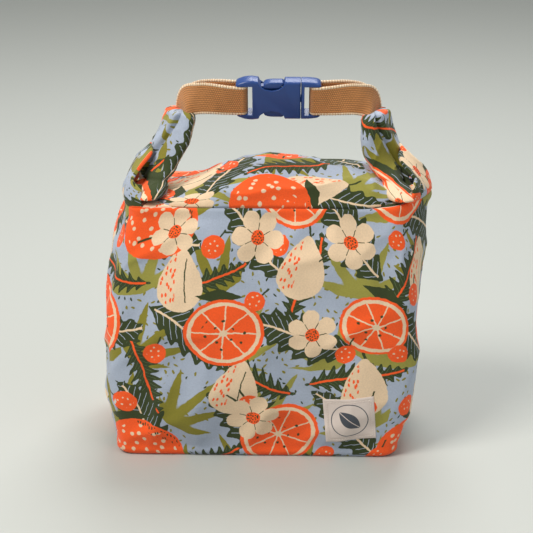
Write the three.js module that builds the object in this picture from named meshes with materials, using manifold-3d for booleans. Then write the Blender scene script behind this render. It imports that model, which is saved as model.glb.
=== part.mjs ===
// Roll-top lunch bag in millimetres, +Z up, front towards -Y, origin under the middle of its base.
// The cloth bag carries a rolled collar, and the roll's two ends stand up and clip together as a handle.
import * as THREE from "three";
import { mergeVertices } from "three/addons/utils/BufferGeometryUtils.js";
import Module from "manifold-3d";

// Bag body
const BASE_WIDTH = 244;
const BELLY_WIDTH = 262; // widest, where the filled bag swells
const CREASE_WIDTH = 228; // along the crisp fold at the top of the front
const BELLY_HEIGHT = 105;
const BODY_HEIGHT = 220; // from the table to that fold
const BASE_DEPTH = 124;
const BELLY_DEPTH = 130;
const CREASE_DEPTH = 106;
const CORNER_RADIUS = 13;
const FRONT_SWELL = 4; // how far front and back bow out in their middles
const GUSSET_SWELL = 17; // how far the loose side folds bow out at the fold's height
const BODY_LEAN = 8; // sideways shift of the fold over the base
const BASE_EDGE = 5; // how far the walls draw in where they turn under
const UNDERTURN_HEIGHT = 12; // and how high that starts

// Cloth layers
const CANVAS = 1.2;
const WADDING = 3;
const LINING = 1;
const CLEAR = 0.3; // gap between pieces that touch
const LAYER_GAP = 0.9; // gap between the soft layers of a wall, which hang loose in one another

// Rolled collar on top of the bag
const ROLL_LEFT = -72;
const ROLL_RIGHT = 97;
const ROLL_DEPTH = 74;
const ROLL_PEAK = 8; // where along the roll it stands highest
const ROLL_RISE = 35; // its top over the front fold, there
const ROLL_LEFT_RISE = 11;
const ROLL_RIGHT_RISE = 24;
const ROLL_SETBACK = 2.5; // behind the front fold
const ROLL_FULLNESS = 0.75; // below 1 its section is fuller than an oval
const ROLL_LEFT_EASE = [0.35, 0.4]; // share of the way to the peak, and of the rise, where it steepens
const ROLL_RIGHT_EASE = [0.55, 0.65]; // the same to the right of the peak
const COLLAR_INSET = 1; // the collar's lining lies this far inside the fold
const BACK_LEAF_RISE = 24;
const BACK_LEAF_RUN = 22; // how far the leaf leans forward to the roll
const BACK_LEAF_THICKNESS = 3;
const GUSSET_RISE = 38;
const GUSSET_THICKNESS = 3;
const LEFT_GUSSET_LEAN = 24; // how far a gusset fold's top leans in over the bag
const RIGHT_GUSSET_LEAN = 6;
const GUSSET_RUN = 0.78; // share of the side's depth that a gusset fold takes up
const GUSSET_FRONT = 0.3; // share of its rise that a gusset fold keeps at its front edge
const GUSSET_BACK = 0.55; // and at its back edge
const GUSSET_CREST = [0.55, 0.75]; // shares of its run between which it stands at its full rise
const GUSSET_DRAW = 0.15; // share by which its front and back edges draw together at the top

// Ears: the ends of the roll, standing up
const EAR_WIDTH = 42;
const EAR_TOP_WIDTH = 39;
const EAR_THICKNESS = 23;
const EAR_TOP_THICKNESS = 17;
const EAR_FOOT_HALF = 105; // from the middle of the handle to an ear's foot
const EAR_TOP_HALF = 79.5; // and to its top
const EAR_TOP_HEIGHT = 287;
const EAR_TURN = 25; // degrees that an ear's face turns to the front
const EAR_FOOT_KEEP = 0.35; // share of its thickness that an ear keeps at the end of its foot
const EAR_END = 0.004; // share of the foot's rounding that is left flat at its very end

// Handle
const HANDLE_MIDDLE = 17; // sideways shift of the handle's middle over the base
const BUCKLE_HEIGHT = 301; // to the middle of the buckle
const BUCKLE_TILT = 18; // degrees that the buckle's top leans to the front
const WEB_WIDTH = 25;
const WEB_THICKNESS = 1.6;
const WEB_BULGE = 2.5; // how far each layer of webbing bows away from the other
const ROOT_RISE = 26; // the webbing leaves its ear straight up, and turns within this
const BAR_RUN = 26; // and comes straight to its bar over this length
const LAYER_SHARE = 0.43; // share of a loop's steps on each layer; the rest goes round the bar

// Side-release buckle: length along the strap, width along the webbing's width
const SOCKET_LENGTH = 40; // housing, from the mouth to the slot
const BUCKLE_WIDTH = 35;
const BUCKLE_THICKNESS = 12;
const BUCKLE_EDGE = 2.2; // rounding of the moulded edges
const PEAK_WIDTH = 37; // the socket's widest point, over the end of its hollow
const WALL = 1.7;
const MOUTH_HALF = 13.2; // half width of the hollow
const HOLLOW_END = 2.5; // solid end of the hollow before the slot
const CUT_OVER = 1; // how far a cut runs out past the face that it opens
const WINDOW_MIDDLE = 24;
const WINDOW_LENGTH = 23;
const WINDOW_DEPTH = 8;
const WINDOW_OVER = 1; // the oval's middle lies this far outside the edge
const SLOT = 6; // opening between a bar and its housing
const SLOT_SPARE = 2; // slot width over the webbing's width
const BAR = 4;
const BAR_THICKNESS = 8;
const HORN = 4; // how far the ends reach past a bar
const HORN_WALL = 2;
const ROOTED = 1; // how far a bar, the tongue or a pad runs into what carries it
const PLUG_BASE = 2.8;
const TONGUE_WIDTH = 5;
const TONGUE_LENGTH = 30;
const TINE_THICKNESS = 5;
const PRONG_ROOT = 8.2; // from the buckle's middle line to the middle of a prong's root
const PRONG_WIDTH = 3;
const PRONG_LENGTH = 36;
const PRONG_FLARE = 0.6; // how far an arm widens outwards towards its pad
const PRONG_TAPER = 1.2; // and how far its inner side draws in
const PRONG_TIP = 1; // blunt end of an arm
const PAD_HALF = 16.4; // half width over the two pads
const PAD_FIT = 0.7; // room round a pad in its window
const PAD_EDGE = 1.2; // rounding of a pad's outer edge
const PAD_ROUND = 1; // rounding of its faces

// Label patch
const LABEL_WIDTH = 43;
const LABEL_HEIGHT = 41;
const LABEL_INSET = 47.3; // from the side of the front to the label's middle
const LABEL_Z = 39;
const LABEL_TURN = 5; // degrees
const LABEL_THICKNESS = 0.9;

// How finely the curved pieces are divided
const CURVE_HALVINGS = 24;
const SWELL_LEVELS = 8;
const SIDE_STEPS = 10;
const LABEL_STEPS = 6;
const ROLL_AROUND = 24;
const ROLL_STEPS = 16;
const LEAF_STEPS = [12, 6];
const GUSSET_STEPS = [12, 8];
const EAR_AROUND = 20;
const EAR_STEPS = 14;
const BAR_AROUND = 20;
const LOOP_STEPS = 48;

const wasm = await Module();
wasm.setup();

const rad = THREE.MathUtils.degToRad;
const mix = THREE.MathUtils.lerp;
const clamp = THREE.MathUtils.clamp;
const smooth = THREE.MathUtils.smoothstep;
const at = (x, y, z) => new THREE.Vector3(x, y, z);
const flatPoint = (x, y) => new THREE.Vector2(x, y);

const printedCanvas = { color: 0xaeb9d2, roughness: 0.95, metalness: 0 };
const liningCloth = { color: 0xe4ddcf, roughness: 0.8, metalness: 0 };
const waddingFelt = { color: 0xd8d8d4, roughness: 1, metalness: 0 };
const webbing = { color: 0xd2a06e, roughness: 0.85, metalness: 0 };
const bluePlastic = { color: 0x4f78b6, roughness: 0.4, metalness: 0 };
const labelCloth = { color: 0xded0cd, roughness: 0.9, metalness: 0 };

function piece(name, geometry, look) {
  const mesh = new THREE.Mesh(geometry, new THREE.MeshStandardMaterial(look));
  mesh.name = name;
  return mesh;
}

// A closed mesh as a solid that can be joined and cut.
function solid(geometry) {
  const bare = geometry.clone();
  bare.deleteAttribute("normal");
  bare.deleteAttribute("uv");
  const merged = mergeVertices(bare, 1e-3);
  return new wasm.Manifold(
    new wasm.Mesh({
      numProp: 3,
      vertProperties: new Float32Array(merged.getAttribute("position").array),
      triVerts: new Uint32Array(merged.index.array),
    }),
  );
}

// A solid back as a mesh's geometry.
function surface(body) {
  const made = body.getMesh();
  const geometry = new THREE.BufferGeometry();
  geometry.setAttribute("position", new THREE.BufferAttribute(made.vertProperties, 3));
  geometry.setIndex(new THREE.BufferAttribute(made.triVerts, 1));
  geometry.computeVertexNormals();
  return geometry;
}

// Moves every vertex of a geometry by a rule that turns its old place into its new one.
// A rule may mirror the form, which turns its faces inwards, so then they are turned back.
function shaped(geometry, rule) {
  const position = geometry.getAttribute("position");
  const point = new THREE.Vector3();
  for (let i = 0; i < position.count; i++) {
    point.fromBufferAttribute(position, i);
    const moved = rule(point);
    position.setXYZ(i, moved.x, moved.y, moved.z);
  }
  const faces = geometry.index.array;
  const corner = [at(0, 0, 0), at(0, 0, 0), at(0, 0, 0)];
  let volume = 0;
  for (let i = 0; i < faces.length; i += 3) {
    corner.forEach((c, k) => c.fromBufferAttribute(position, faces[i + k]));
    volume += corner[0].dot(corner[1].cross(corner[2]));
  }
  if (volume < 0) {
    for (let i = 0; i < faces.length; i += 3) {
      [faces[i + 1], faces[i + 2]] = [faces[i + 2], faces[i + 1]];
    }
  }
  geometry.computeVertexNormals();
  return geometry;
}

// A cloth slab: u and v run over its face from 0 to 1, w from its outer to its inner side.
function cloth(columns, rows, rule) {
  const slab = new THREE.BoxGeometry(1, 1, 1, columns, 1, rows);
  return shaped(slab, (p) => rule(p.x + 0.5, p.z + 0.5, p.y + 0.5));
}

// Half a size of the bag at a height, on a smooth curve through base, belly and fold.
function swelling(base, belly, crease) {
  const curve = new THREE.SplineCurve([
    flatPoint(0, base / 2),
    flatPoint(BELLY_HEIGHT, belly / 2),
    flatPoint(BODY_HEIGHT, crease / 2),
  ]);
  return (z) => {
    let low = 0;
    let high = 1;
    for (let i = 0; i < CURVE_HALVINGS; i++) {
      const middle = (low + high) / 2;
      if (curve.getPoint(middle).x < z) low = middle;
      else high = middle;
    }
    return curve.getPoint(low).y;
  };
}
const halfWidth = swelling(BASE_WIDTH, BELLY_WIDTH, CREASE_WIDTH);
const halfDepth = swelling(BASE_DEPTH, BELLY_DEPTH, CREASE_DEPTH);
const lean = (z) => (BODY_LEAN * z) / BODY_HEIGHT;

// Where a wall draws in near the table, so that the bottom edges are round.
function underturn(z) {
  const low = clamp(1 - z / UNDERTURN_HEIGHT, 0, 1);
  return BASE_EDGE * low * low;
}

// A point of the bag's wall. Side 0 is the front, 1 the right, 2 the back and 3 the left;
// u runs from -1 to 1 between the middles of two corners, and inset is measured inwards.
function wall(side, u, z, inset) {
  const across = side % 2 === 0;
  const radius = CORNER_RADIUS - inset;
  const width = halfWidth(z) - inset - underturn(z);
  const depth = halfDepth(z) - inset - underturn(z);
  const straight = (across ? width : depth) - radius;
  const travel = Math.abs(u) * (straight + (radius * Math.PI) / 4);
  const turn = Math.max(0, travel - straight) / radius;
  const along = Math.sign(u) * (Math.min(travel, straight) + radius * Math.sin(turn));
  const climb = z / BODY_HEIGHT;
  const swell = across ? FRONT_SWELL * Math.sin(Math.PI * climb) : GUSSET_SWELL * climb * climb;
  const share = Math.min(1, along / (straight + CORNER_RADIUS * Math.SQRT1_2));
  const bow = swell * (1 - share * share) ** 1.5;
  const out = (across ? depth : width) - radius * (1 - Math.cos(turn)) + bow;
  if (side === 0) return at(lean(z) + along, -out, z);
  if (side === 1) return at(lean(z) + out, along, z);
  if (side === 2) return at(lean(z) - along, out, z);
  return at(lean(z) - out, -along, z);
}

// Levels at which every layer of the walls bends, so that the layers stay parallel.
const waddingFace = CANVAS + LAYER_GAP;
const liningFace = waddingFace + WADDING + LAYER_GAP + LINING;
const waddingFloor = CANVAS + CLEAR;
const waddingTop = waddingFloor + WADDING;
const liningFloor = waddingTop + CLEAR;
const underEdge = BODY_HEIGHT - CANVAS - CLEAR;
const levels = [0, CANVAS, waddingFloor, waddingTop, liningFloor, mix(liningFloor, UNDERTURN_HEIGHT, 0.5)];
for (let i = 0; i < SWELL_LEVELS; i++) levels.push(mix(UNDERTURN_HEIGHT, underEdge, i / SWELL_LEVELS));
levels.push(underEdge, BODY_HEIGHT - CANVAS, BODY_HEIGHT);
const levelsBetween = (bottom, top) => levels.filter((z) => z >= bottom && z <= top);

// Steps along a side lie closer together near its corners.
const spread = (u) => Math.sin((u * Math.PI) / 2);

// Share of a side that its panel spans, which leaves a sewing gap at the corners.
const sewnShare = (side) => 1 - CLEAR / (side % 2 === 0 ? BASE_WIDTH : BASE_DEPTH);

// One panel of the bag between two insets.
function panel(side, outer, inner, bottom, top) {
  const seam = sewnShare(side);
  const rows = levelsBetween(bottom, top);
  return cloth(SIDE_STEPS, rows.length - 1, (u, v, w) => {
    const z = rows[Math.round(v * (rows.length - 1))];
    return wall(side, seam * spread(2 * u - 1), z, mix(outer, inner, w));
  });
}

// The whole space inside the wall at an inset, between two levels.
function filling(inset, bottom, top) {
  const rows = levelsBetween(bottom, top);
  const around = 4 * SIDE_STEPS;
  const form = new THREE.CylinderGeometry(1, 1, 1, around, rows.length - 1);
  return shaped(form, (p) => {
    const z = rows[Math.round((p.y + 0.5) * (rows.length - 1))];
    if (p.x === 0 && p.z === 0) return at(lean(z), 0, z);
    const step = Math.round((Math.atan2(p.x, p.z) / (2 * Math.PI) + 1) * around) % around;
    const u = (2 * (step % SIDE_STEPS)) / SIDE_STEPS - 1;
    return wall(Math.floor(step / SIDE_STEPS), spread(u), z, inset);
  });
}

// The bag's outline at a height, filled in between two levels, for a floor or a roof.
function sheetAt(z, inset, bottom, top) {
  const points = [];
  for (let side = 0; side < 4; side++) {
    for (let i = 0; i < SIDE_STEPS; i++) {
      const p = wall(side, spread((2 * i) / SIDE_STEPS - 1), z, inset);
      points.push(flatPoint(p.x, p.y));
    }
  }
  const flat = new THREE.ExtrudeGeometry(new THREE.Shape(points), {
    depth: top - bottom,
    bevelEnabled: false,
  });
  flat.translate(0, 0, bottom);
  return flat;
}

// The body: printed canvas outside, wadding between, lining inside. A canvas panel goes up the wall
// and turns in over the other layers at the fold.
function canvasPanel(side) {
  const seam = sewnShare(side);
  const rows = levelsBetween(0, BODY_HEIGHT - CANVAS);
  const fold = rows.length - 1;
  return cloth(SIDE_STEPS, rows.length, (u, v, w) => {
    const row = Math.round(v * rows.length);
    const across = seam * spread(2 * u - 1);
    if (row < fold) return wall(side, across, rows[row], CANVAS * w);
    return wall(side, across, BODY_HEIGHT - CANVAS * w, row === fold ? CANVAS * w : liningFace);
  });
}

const body = new THREE.Group();
["front", "right", "back", "left"].forEach((name, side) => {
  body.add(piece(name + "_panel", canvasPanel(side), printedCanvas));
  const inner = panel(side, liningFace - LINING, liningFace, liningFloor, underEdge);
  body.add(piece("lining_" + name, inner, liningCloth));
});
body.add(piece("base_panel", sheetAt(0, CANVAS + CLEAR, 0, CANVAS), printedCanvas));
const liningBase = sheetAt(liningFloor, liningFace + CLEAR, liningFloor, liningFloor + LINING);
body.add(piece("lining_base", liningBase, liningCloth));

// The wadding is one tub, four walls and a floor quilted together.
const tub = filling(waddingFace, waddingFloor, underEdge);
const tubHollow = filling(waddingFace + WADDING, waddingTop, BODY_HEIGHT);
body.add(piece("wadding", surface(solid(tub).subtract(solid(tubHollow))), waddingFelt));

// The label: a small square patch sewn on the front, a little turned.
function onFront(x, z, inset) {
  const radius = CORNER_RADIUS - inset;
  const straight = halfWidth(z) - inset - underturn(z) - radius;
  return wall(0, (x - lean(z)) / (straight + (radius * Math.PI) / 4), z, inset);
}
const labelTurn = rad(LABEL_TURN);
const labelX = halfWidth(LABEL_Z) - LABEL_INSET;
const label = cloth(LABEL_STEPS, LABEL_STEPS, (u, v, w) => {
  const x = (u - 0.5) * LABEL_WIDTH;
  const z = (v - 0.5) * LABEL_HEIGHT;
  const across = labelX + x * Math.cos(labelTurn) - z * Math.sin(labelTurn);
  const up = LABEL_Z + x * Math.sin(labelTurn) + z * Math.cos(labelTurn);
  return onFront(across, up, -CLEAR - LABEL_THICKNESS * (1 - w));
});
body.add(piece("label", label, labelCloth));

// The top: the collar's lining closes the mouth, and the rolled collar lies on it.
const top = new THREE.Group();
const roofBottom = BODY_HEIGHT + CLEAR;
const roofTop = roofBottom + LINING + CANVAS;
const seat = roofTop + CLEAR;
top.add(piece("collar_lining", sheetAt(BODY_HEIGHT, COLLAR_INSET, roofBottom, roofTop), liningCloth));

const rollRise = new THREE.SplineCurve([
  flatPoint(ROLL_LEFT, ROLL_LEFT_RISE),
  flatPoint(mix(ROLL_LEFT, ROLL_PEAK, ROLL_LEFT_EASE[0]), mix(ROLL_LEFT_RISE, ROLL_RISE, ROLL_LEFT_EASE[1])),
  flatPoint(ROLL_PEAK, ROLL_RISE),
  flatPoint(
    mix(ROLL_PEAK, ROLL_RIGHT, ROLL_RIGHT_EASE[0]),
    mix(ROLL_RISE, ROLL_RIGHT_RISE, ROLL_RIGHT_EASE[1]),
  ),
  flatPoint(ROLL_RIGHT, ROLL_RIGHT_RISE),
]);
const rollFront = ROLL_SETBACK - CREASE_DEPTH / 2;
const rollForm = new THREE.CylinderGeometry(1, 1, 1, ROLL_AROUND, ROLL_STEPS);
const roll = shaped(rollForm, (p) => {
  const along = rollRise.getPoint(0.5 - p.y);
  const high = BODY_HEIGHT + along.y - seat;
  const lift = Math.sign(p.x) * Math.abs(p.x) ** ROLL_FULLNESS;
  return at(along.x, rollFront + (ROLL_DEPTH / 2) * (1 + p.z), seat + (high / 2) * (1 + lift));
});
top.add(piece("collar_roll", roll, printedCanvas));

// The back leaf: the collar's back, leaning forward from the rear fold to the roll.
const leafBack = CREASE_DEPTH / 2 - ROLL_SETBACK;
const backLeaf = cloth(...LEAF_STEPS, (u, v, w) => {
  const rise = BACK_LEAF_RISE * Math.sin((v * Math.PI) / 2);
  const y = leafBack - BACK_LEAF_RUN * v * v - BACK_LEAF_THICKNESS * (1 - w);
  return at(mix(ROLL_RIGHT, ROLL_LEFT, 1 - u), y, seat + rise);
});
top.add(piece("back_leaf", backLeaf, printedCanvas));

// Gusset folds: the side walls' upper ends, pulled up and in behind the ears.
function gussetFold(hand, leanIn) {
  const side = hand > 0 ? 1 : 3;
  return cloth(...GUSSET_STEPS, (u, v, w) => {
    const run = GUSSET_RUN * (2 * u - 1);
    const foot = wall(side, hand * run, BODY_HEIGHT, ROLL_SETBACK + GUSSET_THICKNESS * w);
    const risen = mix(GUSSET_FRONT, 1, smooth(u, 0, GUSSET_CREST[0]));
    const height = risen * mix(1, GUSSET_BACK, smooth(u, GUSSET_CREST[1], 1));
    const inward = leanIn * height * v * v;
    return at(foot.x - hand * inward, foot.y * (1 - GUSSET_DRAW * v), seat + GUSSET_RISE * height * v);
  });
}
top.add(piece("left_gusset_fold", gussetFold(-1, LEFT_GUSSET_LEAN), printedCanvas));
top.add(piece("right_gusset_fold", gussetFold(1, RIGHT_GUSSET_LEAN), printedCanvas));

// The handle: two ears, two webbing loops and the buckle's socket.
const handle = new THREE.Group();
const earLength = EAR_TOP_HEIGHT - seat;

// An ear's foot is round about the line that the handle tilts on, so that it rocks on its seat.
function ear(hand) {
  const turn = rad(EAR_TURN);
  const form = new THREE.CylinderGeometry(1, 1, 1, EAR_AROUND, EAR_STEPS);
  return shaped(form, (p) => {
    const up = (p.y + 0.5) * earLength;
    const foot = clamp(up / (EAR_WIDTH / 2), EAR_END, 1);
    const round = Math.sqrt(1 - (1 - foot) ** 2);
    const wide = (mix(EAR_WIDTH, EAR_TOP_WIDTH, up / earLength) / 2) * round * p.z;
    const foreshort = mix(round, 1, EAR_FOOT_KEEP);
    const thick = (mix(EAR_THICKNESS, EAR_TOP_THICKNESS, up / earLength) / 2) * foreshort * p.x;
    const x = wide * -Math.sin(turn) + thick * Math.cos(turn);
    const y = wide * Math.cos(turn) + thick * Math.sin(turn);
    const middle = mix(EAR_FOOT_HALF, EAR_TOP_HALF, up / earLength);
    return at(HANDLE_MIDDLE + hand * (middle - x), y, seat + up);
  });
}
handle.add(piece("left_ear", ear(-1), printedCanvas));
handle.add(piece("right_ear", ear(1), printedCanvas));

// The buckle has axes of its own: X along the strap from the socket's mouth, Z along the webbing's
// width, front towards -Y. Its middle lies over the middle of the handle.
const socketLength = SOCKET_LENGTH + SLOT + BAR + HORN;
const plugLength = CLEAR + PLUG_BASE + SLOT + BAR + HORN;
const buckle = new THREE.Group();
buckle.rotation.x = rad(BUCKLE_TILT);
buckle.position.set(HANDLE_MIDDLE + (socketLength - plugLength) / 2, 0, BUCKLE_HEIGHT);
buckle.updateMatrixWorld(true);

// An outline in the buckle's X and Z, extruded through a thickness about its middle plane.
function plate(shape, thickness, edge = 0) {
  const flat = new THREE.ExtrudeGeometry(shape, {
    depth: thickness - 2 * edge,
    bevelEnabled: edge > 0,
    bevelThickness: edge,
    bevelSize: edge,
    bevelOffset: -edge,
    bevelSegments: 3,
    curveSegments: 6,
  });
  flat.translate(0, 0, edge - thickness / 2);
  flat.rotateX(Math.PI / 2);
  return solid(flat);
}

function block(x0, x1, thickness, z0, z1) {
  const box = new THREE.BoxGeometry(x1 - x0, thickness, z1 - z0);
  box.translate((x0 + x1) / 2, 0, (z0 + z1) / 2);
  return solid(box);
}

// The end that both halves share: two horns that run out past a bar for the webbing.
const half = BUCKLE_WIDTH / 2;
const slotHalf = (WEB_WIDTH + SLOT_SPARE) / 2;
function horns(shape, start, way, peak) {
  const bar = start + way * (SLOT + BAR);
  const end = bar + way * HORN;
  const tip = slotHalf + HORN_WALL;
  shape.quadraticCurveTo(start + way * SLOT, peak, bar, tip + HORN_WALL / 2);
  shape.quadraticCurveTo(end, tip, end, slotHalf - HORN_WALL);
  shape.lineTo(end, HORN_WALL - slotHalf);
  shape.quadraticCurveTo(end, -tip, bar, -tip - HORN_WALL / 2);
  shape.quadraticCurveTo(start + way * SLOT, -peak, start, -peak);
}

// Opens the slot and the gap between the horns, and sets the oval bar for the webbing between them.
function threaded(made, start, way) {
  const end = start + way * (SLOT + BAR + 2 * HORN);
  const open = block(Math.min(start, end), Math.max(start, end), 2 * BUCKLE_THICKNESS, -slotHalf, slotHalf);
  const bar = new THREE.CylinderGeometry(1, 1, 2 * (slotHalf + ROOTED), BAR_AROUND);
  bar.rotateX(Math.PI / 2);
  bar.scale(BAR / 2, BAR_THICKNESS / 2, 1);
  bar.translate(start + way * (SLOT + BAR / 2), 0, 0);
  return made.subtract(open).add(solid(bar));
}

// A side window: an oval cut through the socket's edge, where a prong's pad stands out.
function windowAt(edge) {
  const oval = new THREE.Shape();
  const middle = edge * (half + WINDOW_OVER);
  oval.absellipse(-WINDOW_MIDDLE, middle, WINDOW_LENGTH / 2, WINDOW_DEPTH + WINDOW_OVER, 0, 2 * Math.PI);
  return plate(oval, 2 * BUCKLE_THICKNESS);
}

function socket() {
  const shape = new THREE.Shape();
  shape.moveTo(0, -half);
  shape.lineTo(0, half);
  shape.lineTo(-WINDOW_MIDDLE, half);
  shape.quadraticCurveTo(HORN - SOCKET_LENGTH, half, -SOCKET_LENGTH, PEAK_WIDTH / 2);
  horns(shape, -SOCKET_LENGTH, -1, PEAK_WIDTH / 2);
  shape.quadraticCurveTo(HORN - SOCKET_LENGTH, -half, -WINDOW_MIDDLE, -half);
  const hollowEnd = HOLLOW_END - SOCKET_LENGTH;
  const hollow = block(hollowEnd, CUT_OVER, BUCKLE_THICKNESS - 2 * WALL, -MOUTH_HALF, MOUTH_HALF);
  let made = threaded(plate(shape, BUCKLE_THICKNESS, BUCKLE_EDGE), -SOCKET_LENGTH, -1).subtract(hollow);
  for (const edge of [-1, 1]) made = made.subtract(windowAt(edge));
  return surface(made);
}

// The plug: a base with its own slot and bar, and a tongue that keeps it straight in the socket.
function plug() {
  const start = CLEAR + PLUG_BASE;
  const shape = new THREE.Shape();
  shape.moveTo(CLEAR, -half);
  shape.lineTo(CLEAR, half);
  shape.lineTo(start, half);
  horns(shape, start, 1, half);
  const base = threaded(plate(shape, BUCKLE_THICKNESS, BUCKLE_EDGE), start, 1);
  const tongue = new THREE.Shape();
  const side = TONGUE_WIDTH / 2;
  tongue.moveTo(start - ROOTED, side);
  tongue.lineTo(start - ROOTED, -side);
  tongue.lineTo(-TONGUE_LENGTH + side, -side);
  tongue.quadraticCurveTo(-TONGUE_LENGTH, 0, -TONGUE_LENGTH + side, side);
  return surface(base.add(plate(tongue, TINE_THICKNESS)));
}

// A prong: a springy arm from the plug's base with a pad that fills the window. The pad's ledge
// catches behind the window's end nearest the mouth.
const windowHalfAt = (z) =>
  (WINDOW_LENGTH / 2) * Math.sqrt(1 - ((half + WINDOW_OVER - z) / (WINDOW_DEPTH + WINDOW_OVER)) ** 2);
function prong(edge) {
  const inner = PRONG_ROOT - PRONG_WIDTH / 2;
  const outer = PRONG_ROOT + PRONG_WIDTH / 2;
  const ledge = (z) => -WINDOW_MIDDLE + windowHalfAt(z) - PAD_FIT;
  const front = (z) => -WINDOW_MIDDLE - windowHalfAt(z) + PAD_FIT;
  const throat = MOUTH_HALF - PAD_FIT;
  const brow = PAD_HALF - PAD_EDGE;
  const arm = new THREE.Shape();
  arm.moveTo(-CLEAR / 2, inner);
  arm.lineTo(-CLEAR / 2, outer);
  arm.lineTo(ledge(throat), outer + PRONG_FLARE);
  arm.lineTo(ledge(throat), throat);
  arm.lineTo(front(throat), throat);
  arm.quadraticCurveTo(-PRONG_LENGTH, throat, -PRONG_LENGTH, outer);
  arm.lineTo(PRONG_TIP - PRONG_LENGTH, outer - PRONG_TIP);
  arm.lineTo(ledge(throat) - PRONG_WIDTH, inner + PRONG_TAPER);
  const pad = new THREE.Shape();
  pad.moveTo(ledge(throat), outer + ROOTED);
  pad.lineTo(ledge(throat), throat);
  pad.lineTo(ledge(brow), brow);
  pad.lineTo(ledge(brow) - PAD_EDGE, PAD_HALF);
  pad.lineTo(-WINDOW_MIDDLE + 2 * PAD_EDGE, PAD_HALF);
  pad.quadraticCurveTo(front(brow) + 2 * PAD_EDGE, PAD_HALF, front(throat) + PAD_EDGE, throat);
  pad.lineTo(front(throat) + PAD_EDGE, outer + ROOTED);
  const padThickness = BUCKLE_THICKNESS - 2 * WALL - 2 * CLEAR;
  const made = plate(arm, TINE_THICKNESS).add(plate(pad, padThickness, PAD_ROUND));
  return edge > 0 ? surface(made) : surface(made.mirror([0, 0, 1]));
}

const plugGroup = new THREE.Group();
buckle.add(piece("buckle_socket", socket(), bluePlastic), plugGroup);
plugGroup.add(
  piece("buckle_plug", plug(), bluePlastic),
  piece("upper_prong", prong(1), bluePlastic),
  piece("lower_prong", prong(-1), bluePlastic),
);
handle.add(buckle);

// A webbing loop: up from its ear, round a bar of the buckle and back, both ends sewn in the ear.
// It turns from lying front to back at the ear to standing on edge at the buckle.
const barWrapX = BAR / 2 + 2 * CLEAR + WEB_THICKNESS / 2;
const barWrapY = BAR_THICKNESS / 2 + 2 * CLEAR + WEB_THICKNESS / 2;
function webbingLoop(hand, barX) {
  const way = -hand; // along X from the ear towards the buckle
  const root = at(HANDLE_MIDDLE + hand * EAR_TOP_HALF, 0, EAR_TOP_HEIGHT + CLEAR);
  const bar = buckle.localToWorld(at(barX, 0, 0));
  const line = new THREE.CubicBezierCurve3(
    root,
    root.clone().add(at(0, 0, ROOT_RISE)),
    bar.clone().add(at(-way * BAR_RUN, 0, 0)),
    bar,
  );
  const turn = rad(EAR_TURN);
  const tilt = rad(BUCKLE_TILT);
  const rootAcross = at(hand * Math.sin(turn), Math.cos(turn), 0);
  const upright = at(0, 0, 1);
  const barAcross = at(0, -Math.sin(tilt), Math.cos(tilt));
  const across = (s) =>
    s < 0.5
      ? rootAcross.clone().lerp(upright, smooth(s, 0, 0.5)).normalize()
      : upright.clone().lerp(barAcross, smooth(s, 0.5, 1)).normalize();

  // Middle of the webbing, its width's direction and the way out of its layer, at a share of the loop.
  function place(share) {
    const s = clamp(Math.min(share, 1 - share) / LAYER_SHARE, 0, 1);
    const layer = share < 0.5 ? 1 : -1;
    const centre = line.getPoint(s);
    const width = across(s);
    const normal = line.getTangent(s).cross(width).normalize().multiplyScalar(way);
    if (s < 1) {
      const apart = mix(WEB_THICKNESS / 2 + CLEAR, barWrapY, smooth(s, 0, 1));
      const bulge = WEB_BULGE * Math.sin(Math.PI * s) ** 2;
      return { centre: centre.addScaledVector(normal, layer * (apart + bulge)), width };
    }
    const turned = ((share - LAYER_SHARE) / (1 - 2 * LAYER_SHARE)) * Math.PI;
    centre.addScaledVector(normal, barWrapY * Math.cos(turned));
    return { centre: centre.add(at(way * barWrapX * Math.sin(turned), 0, 0)), width };
  }

  return cloth(LOOP_STEPS, 2, (u, v, w) => {
    const { centre, width } = place(u);
    const step = 0.25 / LOOP_STEPS;
    const before = place(Math.max(0, u - step)).centre;
    const along = place(Math.min(1, u + step)).centre.sub(before);
    const out = along.cross(width).normalize();
    return centre
      .addScaledVector(width, (v - 0.5) * WEB_WIDTH)
      .addScaledVector(out, (w - 0.5) * WEB_THICKNESS);
  });
}
const socketBar = -SOCKET_LENGTH - SLOT - BAR / 2;
const plugBar = CLEAR + PLUG_BASE + SLOT + BAR / 2;
handle.add(piece("left_webbing", webbingLoop(-1, socketBar), webbing));
handle.add(piece("right_webbing", webbingLoop(1, plugBar), webbing));

const bag = new THREE.Group();
bag.add(body, top, handle);
export default bag;
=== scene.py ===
from math import copysign, cos, exp, pi, radians, sin, sqrt

import bmesh
import bpy
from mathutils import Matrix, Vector, noise
from mathutils.bvhtree import BVHTree


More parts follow.
